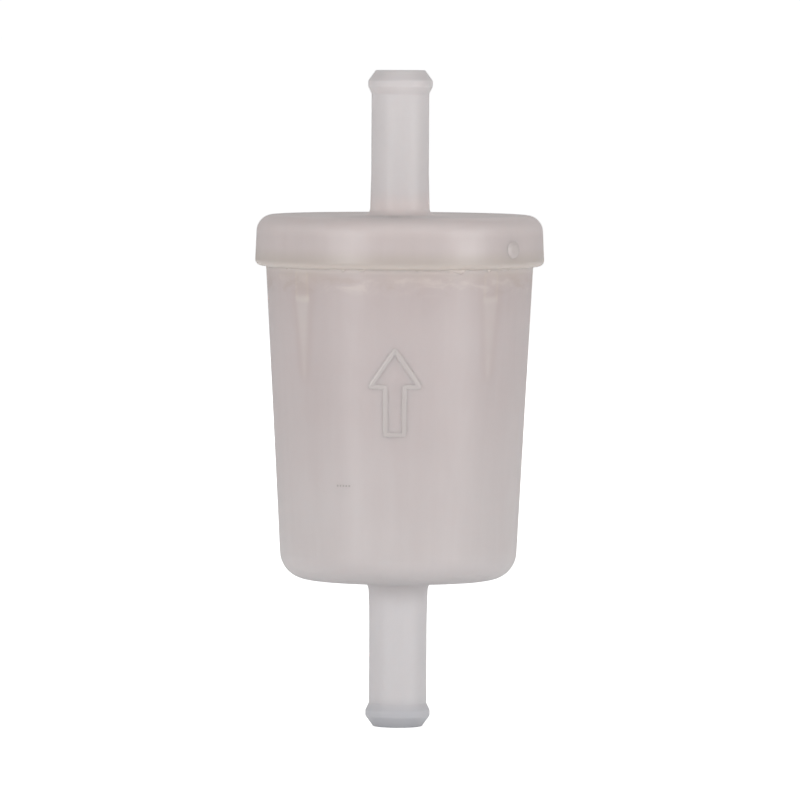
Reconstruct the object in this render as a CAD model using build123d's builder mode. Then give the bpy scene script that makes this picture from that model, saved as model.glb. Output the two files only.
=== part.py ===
from build123d import *
import os
from math import acos, cos, degrees, radians, sin, tan

# Plastic in-line fuel filter for a small engine: two nylon mouldings welded together,
# each with a hose spigot, around a star-pleated paper element that hangs from ledges
# in the cup and is held down and sealed by the cap.
# Millimetres. +Z runs along the axis from the cup's spigot to the cap's spigot, and
# z = 0 is the tip of the cup's spigot. The front of the filter faces -Y.

# --- driving dimensions -----------------------------------------------------------------

# hose spigots, for hose of 8 mm (5/16 in) bore; the two differ only in length and root
spigot_bore_r = 2.75
mouth_chamfer = 0.3
nose_lip = 0.35
nose_round = 0.3
bead_r = 4.45
bead_nose_length = 1.45
bead_land = 0.8
bead_length = 3.25
bead_round = 0.4
hose_seat_r = 3.97
hose_seat_length = 11.0
spigot_root_r = 4.12
cup_spigot_length = 20.4
cap_spigot_length = 19.9
cup_root_round = 1.7
cap_root_round = 0.9

# cup
body_height = 50.2
cup_rim_r = 18.4
cup_wall = 1.7
cup_floor = 1.8
cup_draft = 3.0
cup_corner_r = 3.8

# cap, with a skirt that runs down outside the cup's rim
cap_height = 7.0
cap_top_wall = 1.9
cap_top_round = 2.3
skirt_wall = 1.45
skirt_flare = 0.3
skirt_gap = 0.08
skirt_round = 0.8
weld_depth = 3.4
edge_round = 0.2

# moulding gate's pip on the skirt, and the flash that the weld squeezed out below it
gate_pip_r = 0.7
gate_pip_height = 0.15
gate_pip_rise = 2.6
gate_pip_angle = -36.6
flash_width = 0.6
flash_height = 1.1

# ribs inside the cup, whose tops are ledges for the element
rib_count = 4
rib_depth = 1.9
rib_width = 2.5
rib_point_width = 0.35
rib_height = 10.9
rib_bite = 0.5
ledge_drop = 4.0

# upper end ring of the element
ledge_seat = 0.75
ring_wall = 1.0
ring_plate = 1.6
ring_depth = 6.7
lug_height = 4.1
lug_gap = 0.27
lip_wall = 0.8
lip_gap = 0.4

# the cap's boss presses on that ring, and its plug fills the ring's hole
boss_r = 6.2
plug_wall = 1.65
plug_length = 2.6
plug_gap = 0.05

# pleated paper
pleat_count = 30
paper = 0.45
fold_r = 0.42
media_inner_r = 8.2

# lower end disc, the adhesive in both ends, and the seam where the paper's ends meet
bowl_clearance = 6.8
disc_plate = 1.2
disc_wall = 0.7
disc_clearance = 0.27
disc_flow_gap = 0.55
media_gap = 0.3
adhesive_depth = 2.4
paper_sunk = 1.8
seam_angle = 90
seam_slot = 0.3
seam_depth = 1.3
seam_width = 1.9
seam_proud = 0.15

# --- heights and radii that follow from them ---------------------------------------------

floor_z = cup_spigot_length
inner_floor_z = floor_z + cup_floor
cap_top_z = floor_z + body_height
cap_rim_z = cap_top_z - cap_height
top_z = cap_top_z + cap_spigot_length
weld_z = cap_rim_z + weld_depth
ceiling_z = cap_top_z - cap_top_wall
ledge_z = cap_rim_z - ledge_drop
ring_top_z = ledge_z + ring_depth
plug_end_z = ring_top_z - plug_length
trough_z = ring_top_z - ring_plate
media_top_z = trough_z - adhesive_depth + paper_sunk
disc_bottom_z = inner_floor_z + bowl_clearance
disc_trough_z = disc_bottom_z + disc_plate
media_bottom_z = disc_trough_z + adhesive_depth - paper_sunk


def cup_outer_r(z):
    """Radius of the cup's outside at height z, below the cap."""
    return cup_rim_r - (cap_rim_z - z) * tan(radians(cup_draft))


def cup_inner_r(z):
    """Radius of the cup's inside at height z, below the cap."""
    return cup_outer_r(z) - cup_wall


skirt_inner_r = cup_rim_r + skirt_gap
cap_r = skirt_inner_r + skirt_wall
rim_inner_r = cup_rim_r - cup_wall
rib_inner_r = cup_inner_r(ledge_z) - rib_depth
plug_r = spigot_bore_r + plug_wall
ring_hole_r = plug_r + plug_gap
ring_r = rib_inner_r + ledge_seat
ring_trough_r = ring_r - ring_wall
lug_r = cup_inner_r(ledge_z) - lug_gap
lip_r = media_inner_r - lip_gap
disc_r = min(rib_inner_r - disc_clearance, cup_inner_r(disc_bottom_z) - disc_flow_gap)
disc_trough_r = disc_r - disc_wall
media_outer_r = disc_trough_r - media_gap
rib_angles = [45 + 360 / rib_count * i for i in range(rib_count)]


def radial_plane(radius, angle, z):
    """Plane that faces outwards at this radius and angle: x is tangential, y is up."""
    a = radians(angle)
    return Plane(
        origin=(radius * cos(a), radius * sin(a), z),
        x_dir=(-sin(a), cos(a), 0),
        z_dir=(cos(a), sin(a), 0),
    )


def revolved(corners):
    """Solid of revolution about Z from (radius, height, corner radius) triples."""
    with BuildPart() as turned:
        with BuildSketch(Plane.XZ):
            with BuildLine():
                FilletPolyline(
                    [(r, z) for r, z, _ in corners],
                    radius=[corner_r for _, _, corner_r in corners],
                    close=True,
                )
            make_face()
        revolve(axis=Axis.Z)
    return turned.part


def spigot_corners(tip_z, inward):
    """Outline of a spigot, from its bore over the tip and the bead to its hose seat."""
    along = [
        (spigot_bore_r, mouth_chamfer, 0),
        (spigot_bore_r + mouth_chamfer, 0, 0),
        (spigot_bore_r + mouth_chamfer + nose_lip, 0, nose_round),
        (bead_r, bead_nose_length, bead_round),
        (bead_r, bead_nose_length + bead_land, bead_round),
        (hose_seat_r, bead_length, bead_round),
        (hose_seat_r, bead_length + hose_seat_length, 0),
    ]
    return [(r, tip_z + inward * d, corner_r) for r, d, corner_r in along]


# --- housing -------------------------------------------------------------------------------

cup_body = revolved(
    spigot_corners(0, 1)
    + [
        (spigot_root_r, floor_z, cup_root_round),
        (cup_outer_r(floor_z), floor_z, cup_corner_r),
        (cup_rim_r, cap_rim_z, 0),
        (cup_rim_r, weld_z, edge_round),
        (rim_inner_r, weld_z, edge_round),
        (rim_inner_r, cap_rim_z, 0),
        (cup_inner_r(inner_floor_z), inner_floor_z, cup_corner_r - cup_wall),
        (spigot_bore_r, inner_floor_z, edge_round),
    ]
)

with BuildPart() as housing_cup:
    add(cup_body)
    for angle in rib_angles:
        with BuildSketch(radial_plane(rib_inner_r, angle, ledge_z)):
            with BuildLine():
                Polyline(
                    (-rib_width / 2, 0),
                    (rib_width / 2, 0),
                    (rib_point_width / 2, -rib_height),
                    (-rib_point_width / 2, -rib_height),
                    close=True,
                )
            make_face()
        extrude(amount=rib_depth + rib_bite)

cap_body = revolved(
    spigot_corners(top_z, -1)
    + [
        (spigot_root_r, cap_top_z, cap_root_round),
        (cap_r - skirt_flare, cap_top_z, cap_top_round),
        (cap_r, cap_rim_z, skirt_round),
        (skirt_inner_r, cap_rim_z, edge_round),
        (skirt_inner_r, weld_z, 0),
        (rim_inner_r, weld_z, 0),
        (rim_inner_r, ceiling_z, edge_round),
        (boss_r, ceiling_z, edge_round),
        (boss_r, ring_top_z, edge_round),
        (plug_r, ring_top_z, 0),
        (plug_r, plug_end_z, edge_round),
        (spigot_bore_r, plug_end_z, 0),
    ]
)

with BuildPart() as housing_cap:
    add(cap_body)
    pip_face_r = cap_r - skirt_flare * gate_pip_rise / cap_height + gate_pip_height
    with BuildSketch(radial_plane(pip_face_r, gate_pip_angle, cap_rim_z + gate_pip_rise)):
        Circle(gate_pip_r)
    extrude(amount=-skirt_wall / 2)

flash_low_z = cap_rim_z - flash_height
flash_mid_z = cap_rim_z - flash_height / 2
flash_body = revolved(
    [
        (cup_rim_r, cap_rim_z, 0),
        (cup_rim_r + flash_width, cap_rim_z, 0),
        (cup_rim_r + flash_width * 0.75, flash_mid_z, flash_width / 3),
        (cup_outer_r(flash_low_z), flash_low_z, 0),
    ]
)

with BuildPart() as weld_flash:
    add(flash_body)

# --- element's end pieces --------------------------------------------------------------------

ring_body = revolved(
    [
        (ring_hole_r, ring_top_z, 0),
        (ring_r, ring_top_z, 2 * edge_round),
        (ring_r, ledge_z, edge_round),
        (ring_trough_r, ledge_z, edge_round),
        (ring_trough_r, trough_z, 0),
        (lip_r, trough_z, 0),
        (lip_r, trough_z - adhesive_depth, edge_round),
        (lip_r - lip_wall, trough_z - adhesive_depth, edge_round),
        (lip_r - lip_wall, trough_z, edge_round),
        (ring_hole_r, trough_z, 0),
    ]
)

with BuildPart() as upper_end_ring:
    add(ring_body)
    for angle in rib_angles:
        with BuildSketch(radial_plane(ring_r - ring_wall / 2, angle, ledge_z)):
            lug_shoulder = lug_height - rib_width / 2
            with Locations((0, lug_shoulder / 2)):
                Rectangle(rib_width, lug_shoulder)
            with Locations((0, lug_shoulder)):
                Circle(rib_width / 2)
        extrude(amount=lug_r - ring_r + ring_wall / 2)

disc_rim_z = disc_trough_z + adhesive_depth
disc_body = revolved(
    [
        (0, disc_bottom_z, 0),
        (disc_r, disc_bottom_z, 2 * edge_round),
        (disc_r, disc_rim_z, edge_round),
        (disc_trough_r, disc_rim_z, edge_round),
        (disc_trough_r, disc_trough_z, 0),
        (0, disc_trough_z, 0),
    ]
)

with BuildPart() as lower_end_disc:
    add(disc_body)

# --- pleated paper -----------------------------------------------------------------------------


def pleat_outline(outer_fold_r, inner_fold_r):
    """Closed outline of the pleats: arcs at the folds, joined by their tangent lines."""
    outer_centre = Vector(media_outer_r - fold_r - paper / 2, 0)
    inner_centre = Vector(media_inner_r + fold_r + paper / 2, 0).rotate(Axis.Z, 180 / pleat_count)
    across = inner_centre - outer_centre
    lean = degrees(acos((outer_fold_r + inner_fold_r) / across.length))
    towards = across.normalized()
    leg_start = outer_centre + towards.rotate(Axis.Z, -lean) * outer_fold_r
    leg_end = inner_centre - towards.rotate(Axis.Z, -lean) * inner_fold_r
    tip = outer_centre + Vector(outer_fold_r, 0)
    valley = inner_centre - Vector(inner_fold_r, 0).rotate(Axis.Z, 180 / pleat_count)
    tip_start = Vector(leg_start.X, -leg_start.Y)
    turn = 360 / pleat_count
    next_leg = tip_start.rotate(Axis.Z, turn)
    valley_end = Vector(leg_end.X, -leg_end.Y).rotate(Axis.Z, turn)
    for i in range(pleat_count):
        about = seam_angle + turn * i
        ThreePointArc(*(p.rotate(Axis.Z, about) for p in (tip_start, tip, leg_start)))
        Line(leg_start.rotate(Axis.Z, about), leg_end.rotate(Axis.Z, about))
        ThreePointArc(*(p.rotate(Axis.Z, about) for p in (leg_end, valley, valley_end)))
        Line(valley_end.rotate(Axis.Z, about), next_leg.rotate(Axis.Z, about))


with BuildPart() as pleated_media:
    media_height = media_top_z - media_bottom_z
    with BuildSketch(Plane.XY.offset(media_bottom_z)):
        with BuildLine():
            pleat_outline(fold_r + paper / 2, fold_r - paper / 2)
        make_face()
        with BuildLine(mode=Mode.PRIVATE) as hollow:
            pleat_outline(fold_r - paper / 2, fold_r + paper / 2)
        make_face(hollow.edges(), mode=Mode.SUBTRACT)
    extrude(amount=media_height)
    # the paper's two ends meet at the tip of one pleat
    with BuildSketch(radial_plane(media_outer_r, seam_angle, media_bottom_z)):
        with Locations((0, media_height / 2)):
            Rectangle(seam_slot, media_height)
    extrude(amount=-(paper + fold_r), mode=Mode.SUBTRACT)

# --- adhesive ------------------------------------------------------------------------------------

with BuildPart() as upper_adhesive:
    with BuildSketch(Plane.XY.offset(trough_z)):
        Circle(ring_trough_r)
        Circle(lip_r, mode=Mode.SUBTRACT)
    extrude(amount=-adhesive_depth)
    add(pleated_media.part, mode=Mode.SUBTRACT)

with BuildPart() as lower_adhesive:
    with BuildSketch(Plane.XY.offset(disc_trough_z)):
        Circle(disc_trough_r)
    extrude(amount=adhesive_depth)
    add(pleated_media.part, mode=Mode.SUBTRACT)

seam_low_z = disc_trough_z + adhesive_depth
seam_height = trough_z - adhesive_depth - seam_low_z
with BuildPart() as seam_adhesive:
    with BuildSketch(radial_plane(media_outer_r + seam_proud, seam_angle, seam_low_z)):
        with Locations((0, seam_height / 2)):
            Rectangle(seam_width, seam_height)
    extrude(amount=-(seam_proud + seam_depth))
    add(pleated_media.part, mode=Mode.SUBTRACT)

# --- files -----------------------------------------------------------------------------------------

housing_cup.part.label = "housing_cup"
housing_cap.part.label = "housing_cap"
weld_flash.part.label = "weld_flash"
upper_end_ring.part.label = "upper_end_ring"
lower_end_disc.part.label = "lower_end_disc"
pleated_media.part.label = "pleated_media"
upper_adhesive.part.label = "upper_adhesive"
lower_adhesive.part.label = "lower_adhesive"
seam_adhesive.part.label = "seam_adhesive"

os.makedirs("parts", exist_ok=True)
export_step(housing_cup.part, "parts/housing_cup.step")
export_step(housing_cap.part, "parts/housing_cap.step")
export_step(weld_flash.part, "parts/weld_flash.step")
export_step(upper_end_ring.part, "parts/upper_end_ring.step")
export_step(lower_end_disc.part, "parts/lower_end_disc.step")
export_step(pleated_media.part, "parts/pleated_media.step")
export_step(upper_adhesive.part, "parts/upper_adhesive.step")
export_step(lower_adhesive.part, "parts/lower_adhesive.step")
export_step(seam_adhesive.part, "parts/seam_adhesive.step")
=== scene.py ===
from math import cos, pi, radians, sin, sqrt

import bmesh
import bpy
from mathutils import Matrix, Vector, noise
from mathutils.bvhtree import BVHTree


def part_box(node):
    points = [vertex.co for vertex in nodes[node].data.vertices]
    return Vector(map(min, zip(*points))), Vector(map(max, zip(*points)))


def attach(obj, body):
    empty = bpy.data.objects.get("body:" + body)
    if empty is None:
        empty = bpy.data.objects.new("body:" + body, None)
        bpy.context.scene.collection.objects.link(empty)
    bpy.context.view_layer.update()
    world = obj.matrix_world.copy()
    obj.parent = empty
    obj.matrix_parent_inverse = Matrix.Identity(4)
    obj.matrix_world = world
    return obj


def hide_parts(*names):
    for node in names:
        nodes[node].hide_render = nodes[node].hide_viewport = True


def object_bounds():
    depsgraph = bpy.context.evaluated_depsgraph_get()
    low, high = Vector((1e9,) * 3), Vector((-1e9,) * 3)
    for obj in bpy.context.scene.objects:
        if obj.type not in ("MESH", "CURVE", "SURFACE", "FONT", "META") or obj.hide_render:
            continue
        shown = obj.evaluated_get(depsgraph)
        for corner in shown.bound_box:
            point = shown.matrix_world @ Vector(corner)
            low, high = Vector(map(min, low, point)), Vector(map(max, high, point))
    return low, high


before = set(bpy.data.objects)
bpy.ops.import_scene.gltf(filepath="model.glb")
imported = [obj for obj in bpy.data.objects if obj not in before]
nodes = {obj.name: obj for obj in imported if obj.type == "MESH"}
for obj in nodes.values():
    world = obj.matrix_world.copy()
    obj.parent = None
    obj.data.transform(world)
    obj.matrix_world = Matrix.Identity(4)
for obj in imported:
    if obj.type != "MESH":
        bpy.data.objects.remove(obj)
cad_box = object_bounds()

# A translucent nylon in-line fuel filter. Metres, +Z from the cup's spigot to the cap's.
# Angles round the axis start at the front, -Y, and grow towards +X.

MM = 0.001
scene = bpy.context.scene

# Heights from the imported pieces.
bowl_floor_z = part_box("lower_end_disc")[0][2]
ledge_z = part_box("upper_end_ring")[0][2]
cap_rim_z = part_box("weld_flash")[1][2]
CAP_HEIGHT = 7.0 * MM
cap_top_z = cap_rim_z + CAP_HEIGHT

# The cup's four inner ribs, which carry the ring's lugs on their ledges.
RIB_HEIGHT = 10.9 * MM
RIB_WIDTH = 2.5 * MM
RIB_POINT_WIDTH = 0.35 * MM
LUG_HEIGHT = 4.1 * MM

# --- camera ---------------------------------------------------------------------------------

VIEW_DISTANCE = 1.0
VIEW_HEIGHT = 0.095
VIEW_TURN = radians(1.9)
VIEW_ROLL = radians(0.28)
VIEW_OFFSET = Vector((0.14, 0, -0.19)) * MM
FRAME_HEIGHT = 0.11016
SENSOR = 36.0
CLIP = (0.01, 2000)


def add_camera():
    low, high = (Vector(c) for c in cad_box)
    aim = (low + high) / 2 + VIEW_OFFSET
    data = bpy.data.cameras.new("camera")
    data.sensor_width = SENSOR
    data.lens = SENSOR * VIEW_DISTANCE / FRAME_HEIGHT
    data.clip_start, data.clip_end = CLIP
    camera = bpy.data.objects.new("camera", data)
    scene.collection.objects.link(camera)
    place = Vector((sin(VIEW_TURN) * VIEW_DISTANCE, -cos(VIEW_TURN) * VIEW_DISTANCE, VIEW_HEIGHT))
    level = (aim - place).to_track_quat("-Z", "Y").to_matrix()
    camera.location = place
    camera.rotation_euler = (level @ Matrix.Rotation(VIEW_ROLL, 3, "Z")).to_euler()
    scene.camera = camera


# --- node helpers -----------------------------------------------------------------------------


def new_material(name):
    m = bpy.data.materials.new(name)
    m.use_nodes = True
    tree = m.node_tree
    return m, tree, tree.nodes["Principled BSDF"]


def node(tree, kind, inputs=None, **settings):
    """A new node with its settings and its inputs' values or links."""
    n = tree.nodes.new(kind)
    for key, value in settings.items():
        setattr(n, key, value)
    for key, value in (inputs or {}).items():
        if isinstance(value, bpy.types.NodeSocket):
            tree.links.new(value, n.inputs[key])
        else:
            n.inputs[key].default_value = value
    return n


def place_of(tree, factors=(1, 1, 1)):
    """The surface's own coordinates, scaled along each axis."""
    place = node(tree, "ShaderNodeTexCoord").outputs["Object"]
    scaled = node(tree, "ShaderNodeVectorMath", {0: place, 1: factors}, operation="MULTIPLY")
    return scaled.outputs["Vector"]


def xyz_of(tree):
    return node(tree, "ShaderNodeSeparateXYZ", {0: place_of(tree)}).outputs


def noise_of(tree, place, scale, detail=3.0, roughness=0.5, distortion=0.0):
    inputs = {"Vector": place, "Scale": scale, "Detail": detail, "Roughness": roughness}
    inputs["Distortion"] = distortion
    return node(tree, "ShaderNodeTexNoise", inputs).outputs["Fac"]


def maths(tree, operation, *values):
    return node(tree, "ShaderNodeMath", dict(enumerate(values)), operation=operation).outputs["Value"]


def times(tree, first, *others):
    """All the values multiplied together."""
    for value in others:
        first = maths(tree, "MULTIPLY", first, value)
    return first


def length_of(tree, a, b):
    """The long side of a right triangle."""
    return maths(tree, "SQRT", maths(tree, "MULTIPLY_ADD", a, a, times(tree, b, b)))


def eased(tree, value, start, end, to_start=0.0, to_end=1.0):
    """Goes smoothly from to_start to to_end as the value passes from start to end."""
    rising = start < end
    inputs = {"Value": value, "From Min": min(start, end), "From Max": max(start, end)}
    inputs["To Min"] = to_start if rising else to_end
    inputs["To Max"] = to_end if rising else to_start
    return node(tree, "ShaderNodeMapRange", inputs, interpolation_type="SMOOTHSTEP").outputs["Result"]


# The Mix node has a set of sockets for each kind of value, all with the same names.
MIX_FIRST_COLOUR, MIX_SECOND_COLOUR, MIX_COLOUR = 6, 7, 2


def mixed(tree, factor, first, second, how="MIX"):
    n = node(tree, "ShaderNodeMix", {"Factor": factor}, data_type="RGBA", blend_type=how)
    sockets = n.inputs[MIX_FIRST_COLOUR], n.inputs[MIX_SECOND_COLOUR]
    for socket, value in zip(sockets, (first, second)):
        if isinstance(value, bpy.types.NodeSocket):
            tree.links.new(value, socket)
        else:
            socket.default_value = (*value, 1)
    return n.outputs[MIX_COLOUR]


def shaded(tree, factor, colour, shade):
    """The colour, multiplied by a shade as far as the factor says."""
    return mixed(tree, factor, colour, mixed(tree, 1.0, colour, shade, "MULTIPLY"))


def linear(r, g, b):
    """A colour given as 0-255 sRGB, as Blender's linear values."""
    shares = (c / 255 for c in (r, g, b))
    return tuple(c / 12.92 if c <= 0.04045 else ((c + 0.055) / 1.055) ** 2.4 for c in shares)


# --- materials --------------------------------------------------------------------------------

SCATTER = 1.2 * MM
SCATTER_RADII = (1.0, 0.95, 0.93)
NYLON_IOR = 1.53
# The spigots are duller than the body: distances from the axis, and how much rougher.
SPIGOT_RADII = (6.5 * MM, 4.6 * MM)
SPIGOT_ROUGHER = 0.12


def nylon(name, deep, pale, tone=None, see_through=0.0, scattering=0.8):
    """Natural nylon: milky, waxy, with faint flow streaks and a fine moulded grain."""
    m, tree, shader = new_material(name)
    place = place_of(tree)
    streaks = noise_of(tree, place_of(tree, (1, 1, 0.12)), 420, 3, 0.55, 0.2)
    cloud = noise_of(tree, place, 60, 2, 0.5)
    worn = maths(tree, "MULTIPLY_ADD", streaks, 0.5, times(tree, cloud, 0.5))
    colour = mixed(tree, eased(tree, worn, 0.3, 0.7), deep, pale)
    if tone:
        colour = tone(tree, colour)
    tree.links.new(colour, shader.inputs["Base Color"])
    shader.inputs["IOR"].default_value = NYLON_IOR
    shader.inputs["Transmission Weight"].default_value = see_through
    shader.inputs["Subsurface Weight"].default_value = scattering
    shader.inputs["Subsurface Radius"].default_value = SCATTER_RADII
    shader.inputs["Subsurface Scale"].default_value = SCATTER
    shader.inputs["Coat Weight"].default_value = 0.1
    shader.inputs["Coat Roughness"].default_value = 0.28
    rough = eased(tree, noise_of(tree, place, 400, 2), 0.25, 0.75, 0.41, 0.51)
    x, y, _ = xyz_of(tree)
    duller = eased(tree, length_of(tree, x, y), *SPIGOT_RADII, 0.0, SPIGOT_ROUGHER)
    tree.links.new(maths(tree, "ADD", rough, duller), shader.inputs["Roughness"])
    grain = noise_of(tree, place, 2600, 2)
    swell = noise_of(tree, place_of(tree, (1, 1, 0.3)), 210, 2)
    fine = node(tree, "ShaderNodeBump", {"Height": grain, "Strength": 0.07, "Distance": 0.1 * MM})
    broad = {"Height": swell, "Strength": 0.12, "Distance": 0.5 * MM, "Normal": fine.outputs["Normal"]}
    normal = node(tree, "ShaderNodeBump", broad).outputs["Normal"]
    tree.links.new(normal, shader.inputs["Normal"])
    tree.links.new(normal, shader.inputs["Coat Normal"])
    return m


CUP_SPIGOT = linear(240, 236, 237)
CUP_TIP = linear(220, 220, 224)
ELEMENT_SHADE = (0.93, 0.895, 0.893)
RING_SHADE = (0.95, 0.935, 0.93)
# The heights from which, and to which, one tone passes into the next.
CUP_SPIGOT_FADE = (26 * MM, 16 * MM)
CUP_TIP_FADE = (4.5 * MM, 1.5 * MM)
ELEMENT_FADE = (bowl_floor_z - 9 * MM, ledge_z - 8 * MM)
RING_FADE = (ledge_z - 7 * MM, cap_rim_z)


def over_element(tree, colour):
    """Cooler on the thin, empty spigot; warmer over the paper and its end ring, whose colour shows through
    the wall, and darker there with painted shade.
    """
    z = xyz_of(tree)[2]
    colour = mixed(tree, eased(tree, z, *CUP_SPIGOT_FADE), colour, CUP_SPIGOT)
    colour = mixed(tree, eased(tree, z, *CUP_TIP_FADE), colour, CUP_TIP)
    # Painted shade over the element and its end ring, warmed by their colour showing through.
    colour = shaded(tree, eased(tree, z, *ELEMENT_FADE), colour, ELEMENT_SHADE)
    return shaded(tree, eased(tree, z, *RING_FADE), colour, RING_SHADE)


def near_rib(tree):
    """How far along the wall the middle of the nearest rib is, and how far up its ledge is."""
    x, y, z = xyz_of(tree)
    # A rib stands under each diagonal.
    aside = maths(tree, "SUBTRACT", maths(tree, "ABSOLUTE", x), maths(tree, "ABSOLUTE", y))
    aside = maths(tree, "DIVIDE", maths(tree, "ABSOLUTE", aside), sqrt(2))
    return aside, maths(tree, "SUBTRACT", ledge_z, z)


# Painted shade on each rib's flanks, and painted light on its web, where the thicker nylon sends back more
# light.
RIB_FLANK_SHADE = linear(222, 204, 200)
RIB_WEB = linear(240, 230, 227)
# How far past the rib's edge each of them fades in.
FLANK_FADE = (1.7 * MM, 0.1 * MM)
WEB_FADE = (0.6 * MM, -0.6 * MM)


def over_ribs(tree, colour, wander):
    """Each rib seen through the wall, narrowing downwards: a web painted pale with painted light, between
    flanks darkened with painted shade.
    """
    aside, down = near_rib(tree)
    share = maths(tree, "DIVIDE", down, RIB_HEIGHT)
    half = maths(tree, "MULTIPLY_ADD", share, (RIB_POINT_WIDTH - RIB_WIDTH) / 2, RIB_WIDTH / 2)
    past = maths(tree, "SUBTRACT", aside, half)
    flank = times(tree, eased(tree, past, *FLANK_FADE), eased(tree, share, 1.15, 0.9),
                  eased(tree, share, -0.45, 0.0), 0.3)
    colour = mixed(tree, flank, colour, RIB_FLANK_SHADE)
    web = times(tree, eased(tree, past, *WEB_FADE), eased(tree, share, 1.08, 0.92),
                eased(tree, share, -0.03, 0.03), eased(tree, wander, 0.3, 0.7, 0.5, 0.85))
    return mixed(tree, web, colour, RIB_WEB)


LUG_FACE = linear(240, 228, 223)
LUG_EDGE = linear(240, 227, 214)
LEDGE_GLINT = linear(250, 242, 234)
LUG_ARCH_Z = ledge_z + LUG_HEIGHT - RIB_WIDTH / 2
# Distances from the lug's middle line.
LUG_FADE = (RIB_WIDTH * 0.62, RIB_WIDTH * 0.38)
LUG_EDGE_FADE = (RIB_WIDTH * 0.3, RIB_WIDTH * 0.5)
GLINT_END_FADE = (RIB_WIDTH * 0.62, RIB_WIDTH * 0.45)
# Distances from the ledge.
LUG_FOOT_FADE = (0.3 * MM, -0.3 * MM)
GLINT_FADE = (0.75 * MM, 0.1 * MM)
GLINT_DROP = 0.15 * MM


def over_lugs(tree, colour, wander):
    """The ring's lugs, with a round top and a yellowish edge, and the glints on the ledges under them."""
    aside, down = near_rib(tree)
    arch = maths(tree, "MAXIMUM", maths(tree, "SUBTRACT", xyz_of(tree)[2], LUG_ARCH_Z), 0.0)
    reach = length_of(tree, aside, arch)
    lug = times(tree, eased(tree, reach, *LUG_FADE), eased(tree, down, *LUG_FOOT_FADE))
    face = times(tree, lug, eased(tree, wander, 0.35, 0.65, 0.1, 0.5))
    colour = mixed(tree, face, colour, LUG_FACE)
    edge = times(tree, lug, eased(tree, reach, *LUG_EDGE_FADE), 0.35)
    colour = mixed(tree, edge, colour, LUG_EDGE)
    off_ledge = maths(tree, "ABSOLUTE", maths(tree, "ADD", down, -GLINT_DROP))
    glint = times(tree, eased(tree, off_ledge, *GLINT_FADE), eased(tree, aside, *GLINT_END_FADE),
                  eased(tree, wander, 0.42, 0.62, 0.35, 1.0), 0.7)
    return mixed(tree, glint, colour, LEDGE_GLINT)


GLUE_YELLOW = linear(226, 213, 198)
GLUE_PALE = linear(250, 240, 234)
GLUE_DARK = linear(214, 198, 190)
RIM_LIGHT = linear(254, 243, 238)
GLUE_BAND_FADE = (ledge_z + 0.5 * MM, cap_rim_z - 0.5 * MM)
SMEARS_LOW_FADE = (cap_rim_z - 4.0 * MM, cap_rim_z - 2.6 * MM)
SMEARS_HIGH_FADE = (cap_rim_z - 0.7 * MM, cap_rim_z - 1.5 * MM)
RIM_LIGHT_FADE = (cap_rim_z - 0.9 * MM, cap_rim_z)


def over_glue(tree, colour, wander):
    """A yellowish band and a strip of uneven smears, from the ring's glue and the weld, and painted light
    just under the cap's rim.
    """
    z = xyz_of(tree)[2]
    band = times(tree, eased(tree, z, *GLUE_BAND_FADE), eased(tree, wander, 0.35, 0.65, 0.25, 1.0), 0.3)
    colour = mixed(tree, band, colour, GLUE_YELLOW)
    strip = times(tree, eased(tree, z, *SMEARS_LOW_FADE), eased(tree, z, *SMEARS_HIGH_FADE))
    lumps = noise_of(tree, place_of(tree, (1, 1, 1.9)), 270, 3, 0.55, 0.4)
    colour = mixed(tree, times(tree, strip, eased(tree, lumps, 0.5, 0.7, 0.0, 0.45)), colour, GLUE_PALE)
    colour = mixed(tree, times(tree, strip, eased(tree, lumps, 0.5, 0.34, 0.0, 0.4)), colour, GLUE_DARK)
    # Painted light: the cup is painted lighter just under the cap's rim, softening the cap's shade there,
    # standing for the light that the wall carries up behind it.
    return mixed(tree, times(tree, eased(tree, z, *RIM_LIGHT_FADE), 0.85), colour, RIM_LIGHT)


def cup_tone(tree, colour):
    """What the milky wall lets show of the inside, painted into the colour, with painted shade, painted
    light and painted glints among it.
    """
    wander = noise_of(tree, place_of(tree), 130, 3)
    colour = over_element(tree, colour)
    colour = over_ribs(tree, colour, wander)
    colour = over_lugs(tree, colour, wander)
    return over_glue(tree, colour, wander)


SKIRT_EDGE_SHADE = linear(208, 198, 188)
SKIRT_THIN_LIGHT = linear(246, 234, 226)
CROWN_LIGHT = linear(242, 232, 230)
CAP_SPIGOT = linear(233, 228, 228)
CAP_SPIGOT_ROOT_LIGHT = linear(248, 238, 236)
SKIRT_EDGE_SHADE_FADE = (cap_rim_z + 3.0 * MM, cap_rim_z + 0.8 * MM)
SKIRT_THIN_LIGHT_FADE = (cap_rim_z + 0.8 * MM, cap_rim_z)
CROWN_LIGHT_FADE = (cap_top_z - 2.9 * MM, cap_top_z - 1.2 * MM)
CAP_SPIGOT_FADE = (cap_top_z + 0.5 * MM, cap_top_z + 4 * MM)
ROOT_FADE = (cap_top_z + 3 * MM, cap_top_z)
# Distances from the axis.
ROOT_OUTWARD_FADE = (9 * MM, 5 * MM)


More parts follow.
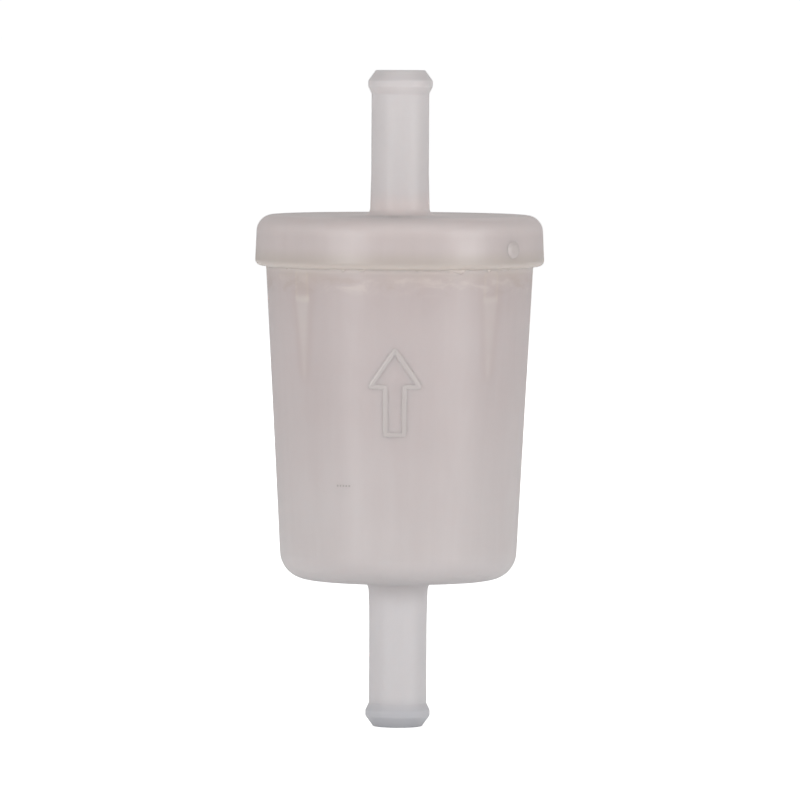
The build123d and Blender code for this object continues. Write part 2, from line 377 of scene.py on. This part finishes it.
def cap_tone(tree, colour):
    """The cap yellows a little and takes a painted shade towards its skirt's lower edge, has painted light
    on its rounded edges and at its spigot's root, and its spigot looks cooler.
    """
    x, y, z = xyz_of(tree)
    # Painted shade, yellowish, towards the skirt's lower edge.
    colour = mixed(tree, times(tree, eased(tree, z, *SKIRT_EDGE_SHADE_FADE), 0.6), colour, SKIRT_EDGE_SHADE)
    # Painted light on the rounded lower edge, which is thin and lets light through, and likewise on the
    # crown's rounding.
    colour = mixed(tree, times(tree, eased(tree, z, *SKIRT_THIN_LIGHT_FADE), 0.75), colour, SKIRT_THIN_LIGHT)
    # Painted light on the crown's rounding.
    colour = mixed(tree, times(tree, eased(tree, z, *CROWN_LIGHT_FADE), 0.55), colour, CROWN_LIGHT)
    colour = mixed(tree, eased(tree, z, *CAP_SPIGOT_FADE), colour, CAP_SPIGOT)
    # Painted light at the root of the spigot, standing for light from the bore.
    outward = eased(tree, length_of(tree, x, y), *ROOT_OUTWARD_FADE)
    root = times(tree, outward, eased(tree, z, *ROOT_FADE), 0.6)
    return mixed(tree, root, colour, CAP_SPIGOT_ROOT_LIGHT)


MELT_LIGHT = linear(238, 227, 221)
MELT_LIGHT_FADE = (cap_rim_z - 0.5 * MM, cap_rim_z - 0.1 * MM)


def flash_tone(tree, colour):
    """The melt is painted lighter towards the cap's rim: painted light, where the light that the wall
    carries would leave it.
    """
    near = eased(tree, xyz_of(tree)[2], *MELT_LIGHT_FADE)
    return mixed(tree, near, colour, MELT_LIGHT)


def end_plastic_material():
    m, tree, shader = new_material("end_plastic")
    place = place_of(tree)
    swirl = noise_of(tree, place, 300, 4, 0.6, 1.2)
    speck = noise_of(tree, place, 1800, 2)
    colour = mixed(tree, eased(tree, swirl, 0.3, 0.7), linear(214, 200, 178), linear(226, 214, 194))
    colour = mixed(tree, eased(tree, speck, 0.62, 0.75, 0.0, 0.5), colour, linear(196, 180, 156))
    tree.links.new(colour, shader.inputs["Base Color"])
    tree.links.new(eased(tree, swirl, 0.2, 0.8, 0.42, 0.58), shader.inputs["Roughness"])
    shader.inputs["Subsurface Weight"].default_value = 0.2
    shader.inputs["Subsurface Scale"].default_value = 0.6 * MM
    fine = node(tree, "ShaderNodeBump", {"Height": speck, "Strength": 0.2, "Distance": 0.15 * MM})
    tree.links.new(fine.outputs["Normal"], shader.inputs["Normal"])
    return m


EMBOSS_PITCH = 2.2 * MM


def filter_paper_material():
    m, tree, shader = new_material("filter_paper")
    place = place_of(tree)
    pulp = noise_of(tree, place, 700, 5, 0.65, 0.6)
    fibre = noise_of(tree, place_of(tree, (1, 1, 0.35)), 4200, 3, 0.6, 2.0)
    colour = mixed(tree, eased(tree, pulp, 0.3, 0.7), linear(204, 186, 160), linear(222, 207, 184))
    colour = mixed(tree, eased(tree, fibre, 0.55, 0.75, 0.0, 0.45), colour, linear(236, 226, 208))
    tree.links.new(colour, shader.inputs["Base Color"])
    shader.inputs["Roughness"].default_value = 0.88
    shader.inputs["Sheen Weight"].default_value = 0.15
    # Rolled-in ridges keep the folds apart.
    emboss = maths(tree, "SINE", times(tree, xyz_of(tree)[2], 2 * pi / EMBOSS_PITCH))
    height = maths(tree, "ADD", times(tree, emboss, 0.35), fibre)
    crease = node(tree, "ShaderNodeBump", {"Height": height, "Strength": 0.5, "Distance": 0.12 * MM})
    tree.links.new(crease.outputs["Normal"], shader.inputs["Normal"])
    return m


def adhesive_material():
    m, tree, shader = new_material("adhesive")
    place = place_of(tree)
    flow = noise_of(tree, place, 260, 3, 0.5, 0.8)
    colour = mixed(tree, eased(tree, flow, 0.3, 0.7), linear(204, 172, 112), linear(222, 196, 140))
    bubble = node(tree, "ShaderNodeTexVoronoi", {"Vector": place, "Scale": 900.0}).outputs["Distance"]
    pit = eased(tree, bubble, 0.25, 0.1)
    colour = mixed(tree, times(tree, pit, 0.5), colour, linear(236, 216, 172))
    tree.links.new(colour, shader.inputs["Base Color"])
    tree.links.new(eased(tree, flow, 0.2, 0.8, 0.22, 0.4), shader.inputs["Roughness"])
    shader.inputs["Subsurface Weight"].default_value = 0.3
    shader.inputs["Subsurface Scale"].default_value = 0.8 * MM
    height = maths(tree, "SUBTRACT", flow, times(tree, pit, 0.3))
    lumpy = node(tree, "ShaderNodeBump", {"Height": height, "Strength": 0.35, "Distance": 0.25 * MM})
    tree.links.new(lumpy.outputs["Normal"], shader.inputs["Normal"])
    return m


def finish(piece, material):
    piece.data.materials.clear()
    piece.data.materials.append(material)
    for p in piece.data.polygons:
        p.material_index = 0


flash_nylon = nylon("flash_nylon", linear(214, 200, 194), linear(224, 211, 206), flash_tone, scattering=0.0)
gate_nylon = nylon("gate_nylon", linear(209, 199, 196), linear(217, 207, 204), scattering=0.0)
relief_nylon = nylon("relief_nylon", linear(206, 197, 195), linear(212, 204, 202), scattering=0.0)
cup_nylon = nylon("cup_nylon", linear(236, 228, 227), linear(241, 234, 233), cup_tone, see_through=0.2)
cap_nylon = nylon("cap_nylon", linear(223, 212, 210), linear(228, 217, 215), cap_tone, see_through=0.1)
end_plastic = end_plastic_material()
adhesive = adhesive_material()

kept_materials = {
    "housing_cup": cup_nylon,
    "housing_cap": cap_nylon,
    "upper_end_ring": end_plastic,
    "lower_end_disc": end_plastic,
    "pleated_media": filter_paper_material(),
    "upper_adhesive": adhesive,
    "lower_adhesive": adhesive,
    "seam_adhesive": adhesive,
}
for kept_name, kept_material in kept_materials.items():
    finish(nodes[kept_name], kept_material)

# --- moulded details ----------------------------------------------------------------------------


def skin_of(name):
    mesh = nodes[name].data
    return BVHTree.FromPolygons([v.co for v in mesh.vertices], [p.vertices for p in mesh.polygons])


cup_skin = skin_of("housing_cup")
cap_skin = skin_of("housing_cap")
OUTSIDE = 40 * MM


def on_skin(skin, angle, z):
    """The outermost point of a skin at an angle and a height, and its outward normal."""
    out = Vector((sin(angle), -cos(angle), 0))
    point, normal, _, _ = skin.ray_cast(out * OUTSIDE + Vector((0, 0, z)), -out)
    return point, normal


def new_piece(name, bm, material):
    bmesh.ops.recalc_face_normals(bm, faces=bm.faces)
    for face in bm.faces:
        face.smooth = True
    mesh = bpy.data.meshes.new(name)
    bm.to_mesh(mesh)
    bm.free()
    piece = bpy.data.objects.new(name, mesh)
    scene.collection.objects.link(piece)
    finish(piece, material)
    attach(piece, "root")
    return piece


def add_tube(bm, sections, closed):
    """Joins rings of points into a skin, shut at its ends unless it runs round into itself."""
    rings = [[bm.verts.new(p) for p in section] for section in sections]
    count = len(rings[0])
    pairs = list(zip(rings, rings[1:] + (rings[:1] if closed else [])))
    for ring, following in pairs:
        for i in range(count):
            j = (i + 1) % count
            bm.faces.new((ring[i], ring[j], following[j], following[i]))
    if not closed:
        bm.faces.new(rings[0])
        bm.faces.new(rings[-1])


FLASH_STEPS = 1080
FLASH_SECTION = 12
# The least there is, and what the largest blobs add to it.
FLASH_DROP = (0.35 * MM, 0.8 * MM)
FLASH_PROUD = (0.08 * MM, 0.2 * MM)
# How far it reaches up under the skirt and into the cup's wall.
FLASH_RISE = 0.2 * MM
FLASH_SUNK = 0.06 * MM
FLASH_ROOT = 0.2 * MM
# The wall's radius is taken this far under the rim.
WALL_BELOW_RIM = 0.4 * MM


def flash_amount(angle):
    """How far the melt has been squeezed out at an angle, from 0 to 1: mostly little, with odd blobs."""
    around = Vector((sin(angle), cos(angle), 0))
    broad = noise.noise(around * 5 + Vector((3, 1, 7))) * 0.5 + 0.5
    ragged = noise.noise(around * 14 + Vector((9, 4, 2))) * 0.5 + 0.5
    return min(1.0, 0.05 + 2.2 * max(0.0, broad * 0.8 + ragged * 0.9 - 0.95))


def add_weld_flash():
    """Melt squeezed out of the spin weld, clinging to the cup just under the cap's rim."""
    bm = bmesh.new()
    sections = []
    for i in range(FLASH_STEPS):
        angle = 2 * pi * i / FLASH_STEPS
        amount = flash_amount(angle)
        point, _ = on_skin(cup_skin, angle, cap_rim_z - WALL_BELOW_RIM)
        wall_r = point.xy.length
        top = cap_rim_z + FLASH_RISE
        drop = FLASH_DROP[0] + FLASH_DROP[1] * amount
        proud = FLASH_PROUD[0] + FLASH_PROUD[1] * amount
        section = []
        for k in range(FLASH_SECTION):
            turn = 2 * pi * k / FLASH_SECTION
            r = wall_r - FLASH_SUNK + max(0.0, cos(turn)) * proud - max(0.0, -cos(turn)) * FLASH_ROOT
            z = top - drop / 2 + sin(turn) * drop / 2
            section.append(Vector((sin(angle) * r, -cos(angle) * r, z)))
        sections.append(section)
    add_tube(bm, sections, closed=True)
    piece = new_piece("weld_flash_melt", bm, flash_nylon)
    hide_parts("weld_flash")


GATE_ANGLE = radians(53.4)
GATE_RISE = 2.6 * MM
GATE_R = 0.72 * MM
GATE_STEPS = 28
# The skirt's surface is taken this far round from the pip's middle, clear of the pip.
GATE_CLEAR = radians(4)
# Each step is a share of the radius and a height over the skirt in millimetres.
GATE_PROFILE = [
    (2.2, -0.35), (2.1, -0.1), (1.8, -0.035), (1.5, 0.03), (1.25, 0.1),
    (1.05, 0.16), (0.85, 0.19), (0.6, 0.205), (0.3, 0.21),
]
GATE_ROUGH_FROM = 0.16


def add_gate_vestige():
    """The low mound left where the runner was sheared off, over the pip on the cap's skirt."""
    beside, tilt = on_skin(cap_skin, GATE_ANGLE + GATE_CLEAR, cap_rim_z + GATE_RISE)
    out = Vector((sin(GATE_ANGLE), -cos(GATE_ANGLE), 0))
    centre = out * beside.xy.length + Vector((0, 0, beside.z))
    normal = out * tilt.xy.length + Vector((0, 0, tilt.z))
    upright = Vector((0, 0, 1))
    aside = upright.cross(normal).normalized()
    upright = normal.cross(aside)
    bm = bmesh.new()
    sections = []
    for share, height in GATE_PROFILE:
        section = []
        for k in range(GATE_STEPS):
            turn = 2 * pi * k / GATE_STEPS
            way = aside * cos(turn) + upright * sin(turn)
            rough = noise.noise(way * 2.2 + Vector((share * 3, height * 4, 1)))
            lift = (height + (0.02 * rough if height > GATE_ROUGH_FROM else 0)) * MM
            section.append(centre + way * GATE_R * share * (1 + 0.06 * rough) + normal * lift)
        sections.append(section)
    add_tube(bm, sections, closed=False)
    new_piece("gate_vestige", bm, gate_nylon)


RIDGE_ROOT = 0.12 * MM
RIDGE_STEPS = 9


def add_ridge(bm, outline, half_width, rise, closed=True):
    """A raised line along points on the cup's skin, each an angle and a height."""
    sections = []
    count = len(outline)
    for i, (angle, z) in enumerate(outline):
        before = outline[i - 1] if closed or i > 0 else outline[i]
        after = outline[(i + 1) % count] if closed or i < count - 1 else outline[i]
        centre, normal = on_skin(cup_skin, angle, z)
        start, _ = on_skin(cup_skin, *before)
        end, _ = on_skin(cup_skin, *after)
        across = (end - start).cross(normal).normalized()
        section = []
        for k in range(RIDGE_STEPS):
            aside = 2 * k / (RIDGE_STEPS - 1) - 1
            lift = rise * (cos(pi * aside) * 0.55 + 0.45)
            section.append(centre + across * aside * half_width + normal * lift)
        section.append(centre + across * 0.6 * half_width - normal * RIDGE_ROOT)
        section.append(centre - across * 0.6 * half_width - normal * RIDGE_ROOT)
        sections.append(section)
    add_tube(bm, sections, closed)


def spaced(corners, step, closed):
    """Points every step or less along straight runs between corners."""
    points = []
    runs = list(zip(corners, corners[1:] + (corners[:1] if closed else [])))
    for start, end in runs:
        count = max(1, round((end - start).length / step))
        points += [start.lerp(end, i / count) for i in range(count)]
    return points if closed else points + [corners[-1]]


ARROW_Z = 46.9 * MM
ARROW_LENGTH = 11.5 * MM
ARROW_HEAD = 5.0 * MM
ARROW_HALF_WIDTH = 3.4 * MM
ARROW_HALF_SHAFT = 1.3 * MM
ARROW_STEP = 0.35 * MM
ARROW_RIDGE = (0.38 * MM, 0.058 * MM)


def add_flow_arrow():
    """A plain outlined arrow in low relief, pointing to the outlet."""
    top = ARROW_LENGTH / 2
    neck = top - ARROW_HEAD
    half = [(0, top), (ARROW_HALF_WIDTH, neck), (ARROW_HALF_SHAFT, neck), (ARROW_HALF_SHAFT, -top)]
    corners = [Vector(p) for p in half + [(-x, z) for x, z in reversed(half[1:])]]
    wall_r = on_skin(cup_skin, 0, ARROW_Z)[0].xy.length
    outline = [(p.x / wall_r, ARROW_Z + p.y) for p in spaced(corners, ARROW_STEP, True)]
    bm = bmesh.new()
    add_ridge(bm, outline, *ARROW_RIDGE)
    new_piece("flow_arrow", bm, relief_nylon)


CAVITY_ANGLE = radians(-24.5)
CAVITY_Z = 34.1 * MM
CAVITY_BARS = 5
BAR_PITCH = 0.44 * MM
BAR_HALF_LENGTH = 0.13 * MM
BAR_RIDGE = (0.15 * MM, 0.06 * MM)


def add_cavity_mark():
    """A row of short raised bars that tells one mould cavity from the next."""
    wall_r = on_skin(cup_skin, CAVITY_ANGLE, CAVITY_Z)[0].xy.length
    bm = bmesh.new()
    for i in range(CAVITY_BARS):
        middle = CAVITY_ANGLE + (i - (CAVITY_BARS - 1) / 2) * BAR_PITCH / wall_r
        half = BAR_HALF_LENGTH / wall_r
        line = [(middle + half * s, CAVITY_Z) for s in (-1, -0.8, 0, 0.8, 1)]
        add_ridge(bm, line, *BAR_RIDGE, closed=False)
    new_piece("cavity_mark", bm, relief_nylon)


add_weld_flash()
add_gate_vestige()
add_flow_arrow()
add_cavity_mark()

# --- studio ---------------------------------------------------------------------------------------

AMBIENT = 0.29
SOFTBOX_POWER = 4.1
SOFTBOX_DISTANCE = 0.94
# As strong as the camera sees them, so that both look white.
FLOOR_GLOW = 0.75
WORLD_GLOW = 1.05
FLOOR_HALF = 400.0


def for_camera(tree, otherwise, seen):
    """One strength for light that goes on to other surfaces, another for what the camera sees."""
    path = node(tree, "ShaderNodeLightPath").outputs["Is Camera Ray"]
    strength = node(tree, "ShaderNodeMapRange", {"Value": path, "To Min": otherwise, "To Max": seen})
    return strength.outputs["Result"]


def add_floor():
    mesh = bpy.data.meshes.new("floor")
    corners = [(x * FLOOR_HALF, y * FLOOR_HALF, 0) for x, y in ((-1, -1), (1, -1), (1, 1), (-1, 1))]
    mesh.from_pydata(corners, [], [(0, 1, 2, 3)])
    floor = bpy.data.objects.new("floor", mesh)
    scene.collection.objects.link(floor)
    m, tree, shader = new_material("floor")
    shader.inputs["Base Color"].default_value = (0.9, 0.9, 0.9, 1)
    shader.inputs["Roughness"].default_value = 0.9
    shader.inputs["Specular IOR Level"].default_value = 0.1
    shader.inputs["Emission Color"].default_value = (1, 1, 1, 1)
    tree.links.new(for_camera(tree, 0.0, FLOOR_GLOW), shader.inputs["Emission Strength"])
    finish(floor, m)


def add_softbox(name, degrees, height, width, length, share):
    data = bpy.data.lights.new(name, "AREA")
    data.shape = "RECTANGLE"
    data.size = width
    data.size_y = length
    data.energy = SOFTBOX_POWER * share
    lamp = bpy.data.objects.new(name, data)
    scene.collection.objects.link(lamp)
    middle = (Vector(cad_box[0]) + Vector(cad_box[1])) / 2
    angle = radians(degrees)
    lamp.location = (sin(angle) * SOFTBOX_DISTANCE, -cos(angle) * SOFTBOX_DISTANCE, height)
    lamp.rotation_euler = (middle - lamp.location).to_track_quat("-Z", "Y").to_euler()
    return lamp


def add_world():
    """White to the eye, and a softer fill as a light."""
    world = bpy.data.worlds.new("studio")
    scene.world = world
    world.use_nodes = True
    tree = world.node_tree
    background = tree.nodes["Background"]
    background.inputs["Color"].default_value = (1, 1, 1, 1)
    tree.links.new(for_camera(tree, AMBIENT, WORLD_GLOW), background.inputs["Strength"])


scene.view_settings.view_transform = "Standard"
add_camera()
add_floor()
add_world()
add_softbox("softbox_left", degrees=-41, height=0.10, width=0.34, length=0.55, share=1.15)
add_softbox("softbox_right", degrees=58, height=0.10, width=0.36, length=0.55, share=1.1)
# This one only fills the back: seen or mirrored, it would put a glint along the cap's top edge.
back = add_softbox("softbox_back", degrees=178, height=0.75, width=0.60, length=0.40, share=1.3)
back.visible_camera = False
back.visible_glossy = False
